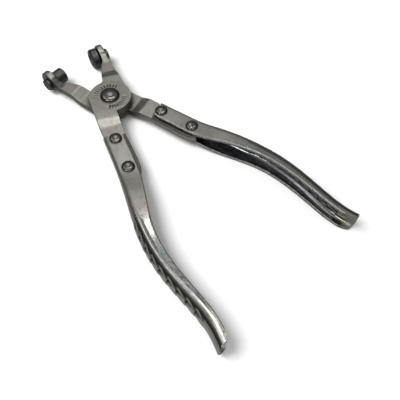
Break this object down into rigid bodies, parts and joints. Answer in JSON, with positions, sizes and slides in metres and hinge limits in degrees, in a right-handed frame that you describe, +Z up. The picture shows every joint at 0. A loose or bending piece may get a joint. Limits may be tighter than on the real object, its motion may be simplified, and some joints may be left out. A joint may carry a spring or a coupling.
{
  "type": "hose clamp pliers",
  "caption": "Riveted pressed-steel pliers with cranked flat arms, channel-section handles and a swivelling round insert on each jaw.",
  "frame": {"origin": "on the pivot axis, in the plane the tool rests on when it lies flat", "axes": "+Z up along the pivot axis, +Y from the handles to the jaws, +X to the jaw of the upper lever"},
  "size_m": [0.0949, 0.1904, 0.0138],
  "materials": {
    "arm_plate": "satin plated steel, worn",
    "handle_sheet": "plated sheet steel, satin to polished by use",
    "rivet_steel": "dark domed heads",
    "insert_steel": "blackened steel, oiled",
    "collar_steel": "dark satin"
  },
  "bodies": {
    "lower_lever": {"lower_arm": "arm_plate", "lower_handle_shell": "handle_sheet", "lower_front_rivet": "rivet_steel", "lower_rear_rivet": "rivet_steel", "pivot_rivet": "rivet_steel"},
    "upper_lever": {"upper_arm": "arm_plate", "upper_handle_shell": "handle_sheet", "upper_front_rivet": "rivet_steel", "upper_rear_rivet": "rivet_steel"},
    "upper_insert": {"upper_jaw_insert": "insert_steel", "upper_insert_collar": "collar_steel"},
    "lower_insert": {"lower_jaw_insert": "insert_steel", "lower_insert_collar": "collar_steel"}
  },
  "joints": [
    {"name": "pivot", "type": "hinge", "parent": "lower_lever", "child": "upper_lever", "pos_m": [0, 0, 0.0069], "axis": [0, 0, 1], "range_deg": [-14, 26.5]},
    {"name": "upper_insert_swivel", "type": "hinge", "parent": "upper_lever", "child": "upper_insert", "pos_m": [0.0179, 0.0364, 0.00615], "axis": [-0.9848, 0.1736, 0], "continuous": true},
    {"name": "lower_insert_swivel", "type": "hinge", "parent": "lower_lever", "child": "lower_insert", "pos_m": [-0.0179, 0.0364, 0.00615], "axis": [0.9848, 0.1736, 0], "continuous": true}
  ]
}
